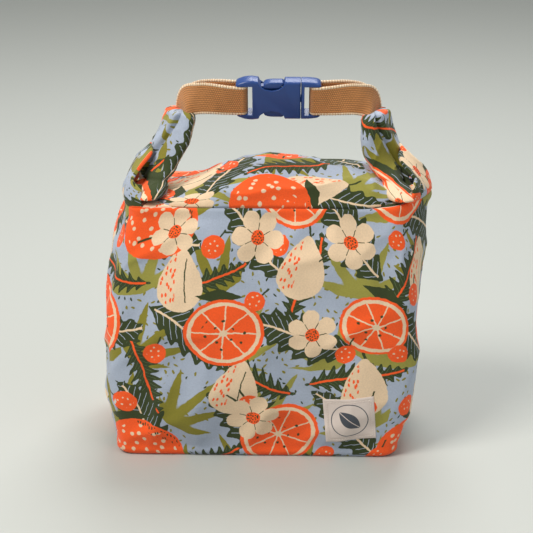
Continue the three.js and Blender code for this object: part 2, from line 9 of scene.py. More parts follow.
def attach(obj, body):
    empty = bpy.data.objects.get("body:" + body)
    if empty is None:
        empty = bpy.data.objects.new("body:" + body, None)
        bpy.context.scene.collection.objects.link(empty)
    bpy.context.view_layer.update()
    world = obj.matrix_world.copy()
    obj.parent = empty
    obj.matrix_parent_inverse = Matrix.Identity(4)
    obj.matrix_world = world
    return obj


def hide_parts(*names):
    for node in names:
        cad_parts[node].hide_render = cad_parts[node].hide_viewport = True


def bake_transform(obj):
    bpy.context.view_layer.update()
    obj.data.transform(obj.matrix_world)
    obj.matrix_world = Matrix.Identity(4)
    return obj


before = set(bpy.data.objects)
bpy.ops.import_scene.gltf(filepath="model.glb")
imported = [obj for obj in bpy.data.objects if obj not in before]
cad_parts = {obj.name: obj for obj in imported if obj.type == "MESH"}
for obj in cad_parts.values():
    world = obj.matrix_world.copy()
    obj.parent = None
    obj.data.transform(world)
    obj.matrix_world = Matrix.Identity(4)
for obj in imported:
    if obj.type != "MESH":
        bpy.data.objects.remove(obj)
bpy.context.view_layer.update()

# The view: a camera a little above the bag and almost square to its front, with soft light from
# the upper left, a wide fill from the right, a lamp from behind, and a plain pale floor.
scene = bpy.context.scene
scene.view_settings.view_transform = "Standard"

VIEW_AZIMUTH = radians(1.5)
VIEW_ELEVATION = radians(20)
VIEW_DISTANCE = 1.2
VIEW_TARGET = Vector((0, 0, 0.15))
towards_camera = Vector((
    sin(VIEW_AZIMUTH) * cos(VIEW_ELEVATION),
    -cos(VIEW_AZIMUTH) * cos(VIEW_ELEVATION),
    sin(VIEW_ELEVATION),
))
camera = bpy.data.objects.new("camera", bpy.data.cameras.new("camera"))
camera.data.lens = 93.5
camera.data.sensor_width = 36
camera.data.shift_x = 0.016
camera.data.shift_y = 0.0042
camera.location = VIEW_TARGET + VIEW_DISTANCE * towards_camera
camera.rotation_euler = (-towards_camera).to_track_quat("-Z", "Y").to_euler()
scene.collection.objects.link(camera)
scene.camera = camera


def lamp(name, place, size, power, tint):
    """A square lamp that faces the bag, with its size in metres and its power in watts."""
    light = bpy.data.lights.new(name, "AREA")
    light.size = size
    light.energy = power
    light.color = tint
    holder = bpy.data.objects.new(name, light)
    holder.location = place
    holder.rotation_euler = (VIEW_TARGET - Vector(place)).to_track_quat("-Z", "Y").to_euler()
    scene.collection.objects.link(holder)


lamp("window_light", (-1.15, -0.95, 2.0), 0.8, 44, (1, 0.955, 0.89))
lamp("room_fill", (1.5, -1.3, 1.7), 1.5, 8, (0.97, 0.98, 1))
lamp("rear_light", (0.2, 0.9, 1.9), 1.0, 30, (1, 0.99, 0.97))

world = bpy.data.worlds.new("studio")
scene.world = world
world.use_nodes = True
room = world.node_tree.nodes["Background"].inputs
room["Color"].default_value = (0.84, 0.86, 0.83, 1)
room["Strength"].default_value = 0.42


def object_of(form, name):
    """Makes an object of the scene from a bmesh, with smooth faces."""
    for face in form.faces:
        face.smooth = True
    mesh = bpy.data.meshes.new(name)
    form.to_mesh(mesh)
    form.free()
    made = bpy.data.objects.new(name, mesh)
    scene.collection.objects.link(made)
    return made


def new_finish(name):
    """A new material, its node tree and its shader's inputs."""
    finish = bpy.data.materials.new(name)
    finish.use_nodes = True
    return finish, finish.node_tree, finish.node_tree.nodes["Principled BSDF"].inputs


floor_form = bmesh.new()
bmesh.ops.create_grid(floor_form, x_segments=1, y_segments=1, size=6)
floor = object_of(floor_form, "floor")
floor_finish, _, floor_shader = new_finish("pale_floor")
floor_shader["Base Color"].default_value = (0.47, 0.49, 0.47, 1)
floor_shader["Roughness"].default_value = 0.55
floor.data.materials.append(floor_finish)


# The canvas walls: cotton canvas printed with fruit, leaves and blossom, sewn into a ring of four
# sides that swells at the belly. The print follows the cloth.
MM = 0.001
BASE_WIDTH, BELLY_WIDTH, CREASE_WIDTH = 244 * MM, 262 * MM, 228 * MM
BASE_DEPTH, BELLY_DEPTH, CREASE_DEPTH = 124 * MM, 130 * MM, 106 * MM
BELLY_HEIGHT, BODY_HEIGHT = 105 * MM, 220 * MM
CORNER_RADIUS = 13 * MM
FRONT_SWELL = 4 * MM
RIGHT_SWELL, LEFT_SWELL = 25 * MM, 6.5 * MM  # the gussets' swell at the fold; the bag leans right
RIGHT_ROUND = 3.5 * MM  # how much fuller the right gusset is below and above its middle
BODY_LEAN = 8 * MM
BASE_EDGE = 3.5 * MM
CANVAS = 1.2 * MM
RING = 2 * (BASE_WIDTH + BASE_DEPTH)
DENT_DEPTH, DENT_LENGTH = 1.8 * MM, 0.075
FOLD_DEPTH, FOLD_LENGTH = 2.0 * MM, 0.07
CROSS_FOLD_DEPTH, CROSS_FOLD_LENGTH = 1.8 * MM, 0.05
DENTS_MEAN = 0.7 * MM  # taken off again, so that the wall keeps its place


def blend_through(z, base, belly, crease):
    """Half a size of the bag at a height: a parabola through base, belly and fold."""
    a, b = BELLY_HEIGHT, BODY_HEIGHT
    first = (belly - base) / a
    second = ((crease - base) / b - first) / (b - a)
    return (base + first * z + second * z * (z - a)) / 2


def underturn(z):
    """How far the wall draws in at its foot, where it turns under to the base."""
    low = min(1, max(0, 1 - z / (1.5 * BASE_EDGE)))
    return BASE_EDGE * low * low


def wall(side, u, z, inset=0.0):
    """A point of the bag's wall: side 0 front, 1 right, 2 back, 3 left, u from -1 to 1 along it."""
    across = side % 2 == 0
    radius = CORNER_RADIUS - inset
    width = blend_through(z, BASE_WIDTH, BELLY_WIDTH, CREASE_WIDTH) - inset - underturn(z)
    depth = blend_through(z, BASE_DEPTH, BELLY_DEPTH, CREASE_DEPTH) - inset - underturn(z)
    straight = (width if across else depth) - radius
    travel = abs(u) * (straight + radius * pi / 4)
    turn = max(0, travel - straight) / radius
    along = copysign(min(travel, straight) + radius * sin(turn), u)
    climb = max(0, min(1, z / BODY_HEIGHT))
    swell = FRONT_SWELL * sin(pi * climb)
    if not across:
        swell = LEFT_SWELL * climb * climb
    if side == 1:
        swell = RIGHT_SWELL * climb ** 3 + RIGHT_ROUND * sin(2 * pi * climb) ** 2
    share = min(1, abs(along) / (straight + CORNER_RADIUS * sqrt(0.5)))
    out = (depth if across else width) - radius * (1 - cos(turn))
    out += swell * (1 - share * share) ** 1.5
    lean = BODY_LEAN * z / BODY_HEIGHT
    x, y = ((along, -out), (out, along), (-along, out), (-out, -along))[side]
    return Vector((lean + x, y, z))


def soft_noise(point, scale, seed):
    """Smooth noise from -1 to 1 whose waves are about scale metres long."""
    return noise.noise(Vector(point) / scale + Vector((seed, 0.37 * seed, 1.7 * seed)))


def creases(point, scale, seed):
    """Narrow soft ridges, as folds in cloth: 1 along their crests and falling quickly to 0."""
    return (1 - abs(soft_noise(point, scale, seed))) ** 6


def dented(point, out, z):
    """Moves a point of the wall in and out in long soft dents and slanting folds."""
    stretched = Vector((point.x, point.y, point.z * 0.55))
    deep = DENT_DEPTH * soft_noise(stretched, DENT_LENGTH, 3.1)
    slanted = Vector((point.x + 0.5 * z, point.y, z - 0.4 * point.x))
    leaning = Vector((point.x - 0.7 * z, point.y, 0.6 * z))
    folds = FOLD_DEPTH * creases(slanted, FOLD_LENGTH, 2.6)
    folds += CROSS_FOLD_DEPTH * creases(leaning, CROSS_FOLD_LENGTH, 6.3)
    level = 1 - 0.7 * ramp(z, 0.9 * BODY_HEIGHT, BODY_HEIGHT)
    return point + out * ((deep + folds - DENTS_MEAN) * min(1, z / 0.02) * level)


def round_sides(reach, sides, z, inset):
    """A point of the wall that lies reach metres along the given sides, one after another."""
    for side in sides:
        length = BASE_DEPTH if side % 2 else BASE_WIDTH
        if reach <= length:
            return wall(side, 2 * reach / length - 1, z, inset)
        reach -= length
    return wall(sides[-1], 1, z, inset)


def ring_point(share, z, inset=0.0):
    """A point of the wall by its share of the way round, from the middle of the back."""
    return round_sides((share * RING + BASE_WIDTH / 2) % RING, (2, 3, 0, 1), z, inset)


def sheet_mesh(name, columns, rows, place, cloth_size, cloth_start=(0, 0), look=None, merge=True):
    """A grid of cloth whose points are put in place by a rule, with the print's coordinates kept."""
    form = bmesh.new()
    bmesh.ops.create_grid(form, x_segments=columns, y_segments=rows, size=0.5, calc_uvs=True)
    weave = form.loops.layers.uv.verify()
    for face in form.faces:
        for corner in face.loops:
            flat = corner.vert.co
            corner[weave].uv = (
                cloth_start[0] + (flat.x + 0.5) * cloth_size[0],
                cloth_start[1] + (flat.y + 0.5) * cloth_size[1],
            )
    for vert in form.verts:
        vert.co = place(vert.co.x + 0.5, vert.co.y + 0.5)
    if merge:
        bmesh.ops.remove_doubles(form, verts=form.verts, dist=1e-5)
    bmesh.ops.recalc_face_normals(form, faces=form.faces)
    made = object_of(form, name)
    if look:
        made.data.materials.append(look)
    return made


def cut_flat(made, start=(0, 0)):
    """Gives a level piece the print of a flat cut, so that it isn't drawn in to its middle."""
    weave = made.data.uv_layers.active.data
    for corner in made.data.loops:
        place = made.data.vertices[corner.vertex_index].co
        weave[corner.index].uv = (start[0] + place.x, start[1] + place.y)


def thicken(made, thickness, offset=-1):
    """Gives a cloth its thickness: inwards at offset -1, outwards at 1, to both sides at 0."""
    shell = made.modifiers.new("thickness", "SOLIDIFY")
    shell.thickness = thickness
    shell.offset = offset
    shell.use_even_offset = False


def hill(value, top, half):
    """A rounded rise: 1 where value is top, falling to 0 on both sides."""
    return exp(-((value - top) / half) ** 2)


def ramp(value, low, high):
    """Rises softly from 0 at low to 1 at high."""
    t = min(1, max(0, (value - low) / (high - low)))
    return t * t * (3 - 2 * t)


TURNED_IN = 6.5 * MM  # the canvas turns in over the wadding and lining at the mouth
TURN_START = 0.96
FOLD_RISE = 3.4 * MM  # the fold runs up a little at its right end
LIP = 1.6 * MM  # the pressed edge stands a little proud in front of the roll
WAY_OUT = 2 * MM  # how far in the wall is measured again, to find which way is out


def fold_lift(x, z=BODY_HEIGHT):
    """How far the fold and what lies on it are raised at x, over the bag's fuller right side."""
    return FOLD_RISE * ramp(x, 0.085, 0.13) * ramp(z, 0.15, BODY_HEIGHT)


def dented_wall(share, z, inset):
    point = ring_point(share, z, inset)
    inner = ring_point(share, z, inset + WAY_OUT)
    return dented(point, (point - inner).normalized(), z)


def wall_place(s, t):
    z = min(1, t / TURN_START) * BODY_HEIGHT
    inset = max(0, (t - TURN_START) / (1 - TURN_START)) * TURNED_IN
    place = dented_wall(s, z, inset)
    lip = LIP * ramp(z, 0.97 * BODY_HEIGHT, BODY_HEIGHT)
    lip *= 1 - ramp(inset, 1.2 * MM, 3 * MM)
    return place + Vector((0, 0, fold_lift(place.x, z) + lip + 0.2 * MM * min(1, inset / (2 * MM))))


CLOTH_SPARE, CLOTH_STEPS = 0.022, 20  # how much too large it is cut, and the steps it settles in
CLOTH_SINK, CLOTH_SWELL, CLOTH_SLIP = 2.2 * MM, 3.5 * MM, 3 * MM  # the most that a point moves


def settled(made, held):
    """Lets sewn cloth that is cut a little too large buckle by itself, held where held() is 1."""
    mesh = made.data
    sewn = made.vertex_groups.new(name="sewn")
    for vert in mesh.vertices:
        sewn.add([vert.index], held(vert.co), "REPLACE")
    cloth = made.modifiers.new("cloth", "CLOTH")
    way = cloth.settings
    way.quality = 4
    way.mass = 0.25
    way.tension_stiffness = way.compression_stiffness = 18
    way.shear_stiffness = 9
    way.bending_stiffness = 2
    way.vertex_group_mass = "sewn"
    way.shrink_min = way.shrink_max = -CLOTH_SPARE
    way.use_pressure = True
    way.uniform_pressure_force = 0.12
    way.effector_weights.gravity = 0
    cloth.collision_settings.use_collision = False
    for step in range(1, CLOTH_STEPS + 1):
        scene.frame_set(step)
    now = made.evaluated_get(bpy.context.evaluated_depsgraph_get()).data
    outward = [vert.normal.copy() for vert in mesh.vertices]
    shifts = [moved.co - vert.co for vert, moved in zip(mesh.vertices, now.vertices)]
    rises = [shift.dot(out) for out, shift in zip(outward, shifts)]
    usual = sum(rises) / len(rises)
    for vert, out, shift, rise in zip(mesh.vertices, outward, shifts, rises):
        aside = shift - out * rise
        rise = max(-CLOTH_SINK, min(CLOTH_SWELL, rise - usual * (1 - held(vert.co))))
        aside *= min(1, CLOTH_SLIP / max(aside.length, 1e-9))
        vert.co += out * rise + aside
    made.modifiers.remove(cloth)
    made.vertex_groups.remove(sewn)
    scene.frame_set(1)
    finer = made.modifiers.new("finer", "SUBSURF")
    finer.levels = finer.render_levels = 1
    dense = bpy.data.meshes.new_from_object(made.evaluated_get(bpy.context.evaluated_depsgraph_get()))
    made.modifiers.remove(finer)
    made.data = dense
    return made


def wall_held(place):
    """1 along the pressed fold and round the base, where the walls are sewn, and 0 between."""
    return float(place.z > 0.985 * BODY_HEIGHT or place.z < 4 * MM)


SEAM_GROOVE, SEAM_HALF = 2.4 * MM, 0.002
canvas_walls = settled(sheet_mesh("canvas_walls", 160, 60, wall_place, (-RING, 0.23)), wall_held)


def wall_pucker(place):
    """How far the cloth is puckered at the fold and the base and drawn in by its side seams."""
    near_fold = hill(BODY_HEIGHT, place.z, 0.025)
    near_base = hill(place.z, 0, 0.022)
    low = Vector((place.x, place.y, place.z * 0.3))
    pinched = 0.5 * MM * soft_noise(low, 0.011, 5.5) - 0.9 * MM * creases(low, 0.03, 4.9)
    still = min(1, place.z / 0.01) * (1 - ramp(place.z, 0.97 * BODY_HEIGHT, BODY_HEIGHT))
    off_seam = abs(place.y) if abs(place.x - BODY_LEAN / 2) > BASE_WIDTH * 0.4 else 1
    seam = 0.45 * MM * soft_noise((0, 0, place.z), 0.006, 8.8) * hill(off_seam, 0, 0.007)
    seam -= SEAM_GROOVE * hill(off_seam, 0, SEAM_HALF)
    fine = 0.15 * MM * soft_noise(place, 0.008, 2.2)
    return (pinched * (0.7 * near_fold + near_base) + seam + fine) * still


outward = [vert.normal.copy() for vert in canvas_walls.data.vertices]
for vert, out in zip(canvas_walls.data.vertices, outward):
    vert.co += out * wall_pucker(vert.co)
thicken(canvas_walls, CANVAS)
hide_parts("front_panel", "right_panel", "back_panel", "left_panel")
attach(canvas_walls, "bag")


def new_node(tree, kind, **settings):
    node = tree.nodes.new(kind)
    for key, given in settings.items():
        setattr(node, key, given)
    return node


def feed(slot, given):
    """Puts a number, a colour, a Value or another node's output into a slot."""
    if isinstance(given, Value):
        given = given.socket
    if isinstance(given, bpy.types.NodeSocket):
        slot.id_data.links.new(given, slot)
    elif isinstance(given, tuple):
        slot.default_value = given + (1,) * (len(slot.default_value) - len(given))
    else:
        slot.default_value = given


class Value:
    """A number in a material, so that a pattern can be written as arithmetic."""

    def __init__(self, socket):
        self.socket = socket
        self.tree = socket.id_data

    def made(self, operation, *others, clamp=False):
        node = new_node(self.tree, "ShaderNodeMath", operation=operation, use_clamp=clamp)
        for slot, given in zip(node.inputs, (self, *others)):
            feed(slot, given)
        return Value(node.outputs[0])

    def __add__(self, other):
        return self.made("ADD", other)

    def __sub__(self, other):
        return self.made("SUBTRACT", other)

    def __mul__(self, other):
        return self.made("MULTIPLY", other)

    def __truediv__(self, other):
        return self.made("DIVIDE", other)

    def size(self):
        return self.made("ABSOLUTE")

    def sine(self):
        return self.made("SINE")

    def power(self, exponent):
        return self.made("MAXIMUM", 0).made("POWER", exponent)

    def below(self, edge, blur=0.0004):
        """1 where this is less than edge, 0 where it is more, over a short blur."""
        return ((self * -1 + edge) / blur).made("ADD", 0.5, clamp=True)


def split(vector):
    node = new_node(vector.id_data, "ShaderNodeSeparateXYZ")
    feed(node.inputs[0], vector)
    return [Value(part) for part in node.outputs]


def joined(x, y, z=0):
    node = new_node(x.tree, "ShaderNodeCombineXYZ")
    for slot, given in zip(node.inputs, (x, y, z)):
        feed(slot, given)
    return node.outputs[0]


def over(below_colour, ink, cover):
    """Lays an ink over what is there, where cover is 1."""
    node = new_node(cover.tree, "ShaderNodeMix", data_type="RGBA")
    feed(node.inputs["Factor"], cover)
    feed(node.inputs[6], below_colour)
    feed(node.inputs[7], ink)
    return node.outputs[2]


def toned(colour, tone):
    """A colour made lighter or darker by a tone."""
    node = new_node(tone.tree, "ShaderNodeVectorMath", operation="SCALE")
    feed(node.inputs[0], colour)
    feed(node.inputs["Scale"], tone)
    return node.outputs[0]


def noise_node(vector, scale, detail=2, dimensions="2D"):
    node = new_node(vector.id_data, "ShaderNodeTexNoise", noise_dimensions=dimensions)
    feed(node.inputs["Scale"], scale)
    feed(node.inputs["Detail"], detail)
    feed(node.inputs["Vector"], vector)
    return node


def clouds(vector, scale, detail=2, dimensions="2D"):
    """Soft noise from 0 to 1."""
    return Value(noise_node(vector, scale, detail, dimensions).outputs[0])


def bumped(height, strength, depth):
    """The normal of a surface that is raised where height is more."""
    node = new_node(height.tree, "ShaderNodeBump")
    feed(node.inputs["Strength"], strength)
    feed(node.inputs["Distance"], depth)
    feed(node.inputs["Height"], height)
    return node.outputs[0]


def coat(shader, colour, roughness, normal, sheen=0, shine=0.5):
    """Sets a finish: its colour, roughness and relief, its cloth's sheen and its shine."""
    feed(shader["Base Color"], colour)
    feed(shader["Roughness"], roughness)
    feed(shader["Normal"], normal)
    feed(shader["Sheen Weight"], sheen)
    feed(shader["Specular IOR Level"], shine)


def plain_weave(cloth, pitch):
    """Threads over and under one another: 1 on their crests and 0 between them."""
    warp, weft, _ = split(cloth)
    turn = 2 * pi / pitch
    return (warp * turn).sine() * (weft * turn).sine() * 0.5 + 0.5


def distance(x, y):
    return (x.made("POWER", 2) + y.made("POWER", 2)).made("SQRT")


def scattered(x, y, pitch, shift, seed, swing, drift):
    """Repeats a motif on staggered rows, pitch metres apart: its own x and y, turned by up to half
    of swing and moved by up to half of drift, and two random numbers."""
    down = y / pitch + shift[1]
    row = down.made("FLOOR")
    along = x / pitch + shift[0] + row.made("MODULO", 2).size() * 0.5
    column = along.made("FLOOR")
    chance = new_node(x.tree, "ShaderNodeTexWhiteNoise", noise_dimensions="3D")
    feed(chance.inputs["Vector"], joined(column, row, seed))
    turn_by, first, second = split(chance.outputs["Color"])
    near_x = (along - column - 0.5 - (first - 0.5) * drift) * pitch
    near_y = (down - row - 0.5 - (second - 0.5) * drift) * pitch
    angle = (turn_by - 0.5) * swing
    cosine = angle.made("COSINE")
    sine = angle.sine()
    return near_x * cosine - near_y * sine, near_x * sine + near_y * cosine, first, second


def among(chance, share):
    """1 in the motifs whose random number is less than share, 0 in the others."""
    return chance.below(share, 0.0005)


# Inks of the print, as linear colours.
GROUND = (0.385, 0.44, 0.55)
ORANGE = (0.93, 0.107, 0.018)
OLIVE = (0.235, 0.21, 0.026)
PALE_OLIVE = (0.31, 0.29, 0.06)
DARK_GREEN = (0.038, 0.053, 0.017)
VEIN_GREEN = (0.10, 0.15, 0.07)
CREAM = (0.80, 0.60, 0.405)


def dots(x, y, pitch, share, blur=0.06):
    """Rounded spots strewn evenly, pitch metres apart."""
    cells = new_node(x.tree, "ShaderNodeTexVoronoi", voronoi_dimensions="2D")
    feed(cells.inputs["Scale"], 1)
    feed(cells.inputs["Randomness"], 0.75)
    feed(cells.inputs["Vector"], joined(x / pitch, y / pitch))
    return Value(cells.outputs["Distance"]).below(share, blur)


def small_marks(x, y, lay, crowded):
    """Short dashes in dark green and olive, thick in some places and thin in others."""
    x, y, first, second = scattered(x, y, 0.0062, (0.3, 0.1), 11, 2.4, 0.5)
    dash = distance(x * 2.2, y)
    lay(DARK_GREEN, dash.below(0.0016) * first.below(crowded - 0.28, 0.01))
    lay(OLIVE, dash.below(0.0019) * second.below(crowded * 1.5 - 0.40, 0.01))


def olive_sprays(x, y, lay):
    """Slender blades that fan out from a foot."""
    x, y, first, second = scattered(x, y, 0.062, (0.15, 0.62), 23, 1.6, 0.1)
    foot_y = y + 0.032
    reach = distance(x, foot_y)
    spread = x.made("ARCTAN2", foot_y)
    along = reach / (spread.size() * -0.018 + 0.062)
    blade = ((spread * 5.6).sine() * reach * 0.18).size()
    half = (along.made("MINIMUM", 1) * pi).sine().power(0.7) * 0.0037
    spray = blade.below(half) * spread.size().below(1.35, 0.02) * along.below(1, 0.01)
    lay(over(OLIVE, PALE_OLIVE, among(first, 0.4)), spray * among(second, 0.95))


def leaves(x, y, lay, pitch, shift, seed, shape):
    """Big dark leaves: pointed, with lobed edges, a midrib and slanting veins."""
    length, width, lobe, lobe_pitch, rib_ink, vein_ink = shape
    x, y, first, second = scattered(x, y, pitch, shift, seed, 5.6, 0.05)
    spine = (x + (y * (4.5 / length)).sine() * (0.06 * length)).size()
    belly = ((y / length + 0.5).made("MINIMUM", 1) * pi).sine().power(0.75)
    wave = 2 * pi / lobe_pitch
    lobes = ((y - spine * 0.5) * wave).sine() * lobe + (1 - lobe)
    half = belly * lobes * (first * (0.35 * width) + width * 0.8)
    on_leaf = spine.below(half) * y.size().below(length / 2) * among(second, 0.97)
    veins = ((y - spine * 0.8) * wave).sine().size().below(0.17, 0.12)
    lay(DARK_GREEN, on_leaf)
    lay(vein_ink, on_leaf * veins * spine.below(half * 0.78))
    lay(rib_ink, on_leaf * spine.below(0.0009) * y.size().below(length * 0.45))


def pears(x, y, lay):
    """Cream pears with a flush of small strokes on one side, a short stalk and, on some, a seam."""
    x, y, first, second = scattered(x, y, 0.104, (0.35, 0.85), 67, 1.3, 0.2)
    shown = among(second, 0.66)
    neck = (y * -26 + 0.62).made("MINIMUM", 1).power(0.8) * 0.0115 + 0.0085
    far = distance(x / (neck / 0.020), y * 0.80)
    on_pear = far.below(0.0215) * shown
    stalk = (x - (y - 0.03) * 0.3).size().below(0.001) * (y - 0.031).size().below(0.0065)
    lay(DARK_GREEN, stalk * shown)
    lay(CREAM, on_pear)
    side = (x * -1 + 0.004).below(0, 0.001) * far.below(0.0195)
    lay(ORANGE, dots(x, y * 0.5, 0.0034, 0.26, 0.08) * side * on_pear)
    seam = (x + 0.0035 + y.made("POWER", 2) * 4).size().below(0.0005) * far.below(0.016)
    lay(DARK_GREEN, seam * on_pear * among(first, 0.5))


def oranges(x, y, lay):
    """Whole oranges with pale pores and shaded strokes, and cut ones with a rind and segments."""
    x, y, first, second = scattered(x, y, 0.108, (0.1, 0.42), 53, 1.1, 0.28)
    whole = among(second, 0.58)
    cut = whole * -1 + 1
    far = distance(x, y * 1.1)
    radius = first * 0.010 + 0.0275
    flesh = radius * 0.86
    lay(DARK_GREEN, ((x - 0.006).size() + (y - radius * 0.98).size() * 3).below(0.019))
    lay(ORANGE, far.below(radius))
    lay(CREAM, dots(x, y, 0.0088, 0.20) * far.below(flesh) * whole)
    shaded = far.below(radius * 0.95) * (x * 0.8 - y).below(flesh * -1, 0.001)
    lay(DARK_GREEN, dots(x * 1.5, y * 0.55, 0.0036, 0.25) * shaded * whole)
    rind = (far - flesh).size().below(0.0016)
    spokes = ((y.made("ARCTAN2", x) * 4).sine() * far).size().below(0.0024) * far.below(flesh)
    pale = rind.made("MAXIMUM", spokes).made("MAXIMUM", far.below(0.003))
    lay(CREAM, pale * cut)
    pips = dots(x, y, 0.0095, 0.13) * (far - radius * 0.4).size().below(radius * 0.16)
    lay(DARK_GREEN, pips * cut)


def berries(x, y, lay):
    """Small round berries with a stalk, in the gaps."""
    x, y, first, second = scattered(x, y, 0.047, (0.6, 0.3), 83, 3, 0.35)
    shown = among(second, 0.42)
    far = distance(x, y)
    stalk = (x + y * 0.3).size().below(0.0008) * (y - 0.011).size().below(0.005)
    lay(DARK_GREEN, stalk * shown)
    lay(ORANGE, far.below(first * 0.002 + 0.0078) * shown)
    lay(CREAM, dots(x, y, 0.0046, 0.17) * far.below(0.0062) * shown)


def blossoms(x, y, lay):
    """Rounded cream petals with a dotted orange heart and a dark stem."""
    x, y, first, second = scattered(x, y, 0.079, (0.72, 0.9), 71, 5.5, 0.3)
    shown = among(second, 0.51)
    far = distance(x, y)
    bent = (x + (y * 70).sine() * 0.002).size()
    lay(DARK_GREEN, bent.below(0.0009) * (y + 0.016).size().below(0.016) * shown)
    turned = (y.made("ARCTAN2", x) * 3).sine()
    petals = (turned.size().made("POWER", 0.5) * 0.46 + 0.54) * (first * 0.006 + 0.0165)
    lay(CREAM, far.below(petals) * shown)
    lay(DARK_GREEN, (turned * far).size().below(0.0010) * far.below(0.0115) * shown)
    lay(ORANGE, far.below(0.0058) * shown)
    lay(DARK_GREEN, dots(x, y, 0.0021, 0.3) * far.below(0.0052) * shown)


FROND = (0.082, 0.0135, 0.30, 0.0072, ORANGE, VEIN_GREEN)
BROAD_LEAF = (0.088, 0.0220, 0.16, 0.0128, CREAM, GROUND)
WAVER = 0.0016  # how much the motifs' edges waver


def print_design():
    """The repeat, from the small marks below to the blossoms on top, in metres of cloth."""
    tree = bpy.data.node_groups.new("orchard_print", "ShaderNodeTree")
    tree.interface.new_socket("Cloth", in_out="INPUT", socket_type="NodeSocketVector")
    tree.interface.new_socket("Colour", in_out="OUTPUT", socket_type="NodeSocketColor")
    cloth = new_node(tree, "NodeGroupInput").outputs[0]
    shake_x, shake_y, _ = split(noise_node(cloth, 210).outputs["Color"])
    x, y, _ = split(cloth)
    x += (shake_x - 0.5) * WAVER
    y += (shake_y - 0.5) * WAVER
    colour = GROUND

    def lay(ink, cover):
        nonlocal colour
        colour = over(colour, ink, cover)

    small_marks(x, y, lay, clouds(cloth, 26))
    olive_sprays(x, y, lay)
    leaves(x, y, lay, 0.084, (0.3, 0.55), 37, FROND)
    leaves(x, y, lay, 0.083, (0.8, 0.1), 91, BROAD_LEAF)
    for motif in (pears, oranges, berries, blossoms):
        motif(x, y, lay)
    feed(new_node(tree, "NodeGroupOutput").inputs[0], colour)
    return tree


def printed_canvas():
    """Cotton canvas with the print: matt, with a plain weave that lifts and a little fading."""
    finish, tree, shader = new_finish("printed_canvas")
    cloth = new_node(tree, "ShaderNodeUVMap").outputs[0]
    design = new_node(tree, "ShaderNodeGroup", node_tree=print_design())
    feed(design.inputs[0], cloth)
    weave = plain_weave(cloth, 1.05 * MM)
    slub = clouds(cloth, 700)
    tone = weave * 0.10 + clouds(cloth, 22, 5) * 0.22 + slub * 0.22 + 0.74
    relief = bumped(weave + slub * 0.8, 0.35, 0.4 * MM)
    coat(shader, toned(design.outputs[0], tone), 0.92, relief, sheen=0.15, shine=0.25)
    return finish


canvas_finish = printed_canvas()
canvas_walls.data.materials.append(canvas_finish)


# The canvas base: one flat panel of the same canvas, sewn in along the foot of the walls, a little
# inside them.
BASE_INSET, BASE_GAP, BASE_CLOTH = 1.5 * MM, 0.3 * MM, 0.9 * MM


def base_place(s, t):
    """Rings of the wall's lowest line, drawn in to the middle."""
    rim = ring_point(s, 0, BASE_INSET)
    return Vector((rim.x * t, rim.y * t, BASE_GAP))


canvas_base = sheet_mesh("canvas_base", 256, 12, base_place, (RING, 0.06), look=canvas_finish)
cut_flat(canvas_base, (0.6, 0.4))
thicken(canvas_base, BASE_CLOTH, 1)
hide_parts("base_panel")
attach(canvas_base, "bag")


# The lining and the felt between: a pale coated cloth that wipes clean, over a needled felt that
# keeps the food cool. Both follow the canvas and are sewn in at the mouth.
FELT_FACE, FELT = 3.0 * MM, 2.2 * MM
LINING_FACE, LINING = 6.0 * MM, 1 * MM
ON_BASE = 0.2  # the share of the cloth that lies on the base


def layer(name, inset, top, floor_height, thickness, look, slot, *nodes):
    """A cloth that lies on the base and runs up inside the canvas, inset from its face."""
    def place(s, t):
        if t < ON_BASE:
            rim = ring_point(s, floor_height, inset)
            return Vector((rim.x * t / ON_BASE, rim.y * t / ON_BASE, floor_height))
        rise = (t - ON_BASE) / (1 - ON_BASE)
        return dented_wall(s, floor_height + rise * (top - floor_height), inset)

    made = sheet_mesh(name, 128, 48, place, (RING, 0.28), look=look)
    thicken(made, thickness)
    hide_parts(*nodes)
    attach(made, "bag")


def plain_cloth(name, colour, roughness, pitch, bump_height, sheen=0.1, mark=None):
    """A one-colour cloth with a fine relief, uneven in tone, and with a mark if it has one."""
    finish, tree, shader = new_finish(name)
    cloth = new_node(tree, "ShaderNodeUVMap").outputs[0]
    weave = plain_weave(cloth, pitch)
    colour = toned(colour, weave * 0.12 + clouds(cloth, 60, 6) * 0.14 + 0.87)
    colour = mark(cloth, colour) if mark else colour
    coat(shader, colour, roughness, bumped(weave, 0.4, bump_height), sheen)
    return finish


felt_finish = plain_cloth("felt", (0.62, 0.62, 0.58), 1.0, 2.4 * MM, 0.6 * MM, 0.4)
lining_finish = plain_cloth("coated_lining", (0.72, 0.68, 0.60), 0.55, 1.2 * MM, 0.2 * MM)
layer("felt_wadding", FELT_FACE, 0.2180, 1.6 * MM, FELT, felt_finish, "wadding", "wadding")
layer("lining_walls", LINING_FACE, 0.2185, 4.9 * MM, LINING, lining_finish, "lining",
      "lining_front", "lining_right", "lining_back", "lining_left", "lining_base")


# The label: a small woven cotton patch with its edges turned under, sewn on low at the right with
# a running stitch, a little turned. It carries a plain leaf in a ring.
LABEL_WIDTH, LABEL_HEIGHT = 43 * MM, 41 * MM
LABEL_X, LABEL_Z = 79.5 * MM, 39 * MM
LABEL_TURN = radians(5)
LABEL_THICKNESS = 0.9 * MM
LABEL_HEM = 0.07  # how far in the stitches run, as a share of the label's side
LABEL_RING, LABEL_LEAF, LABEL_LEAF_HALF = 15.5 * MM, 12 * MM, 6.4 * MM
LABEL_INK = (0.06, 0.07, 0.09)
canvas_now = BVHTree.FromObject(canvas_walls, bpy.context.evaluated_depsgraph_get())


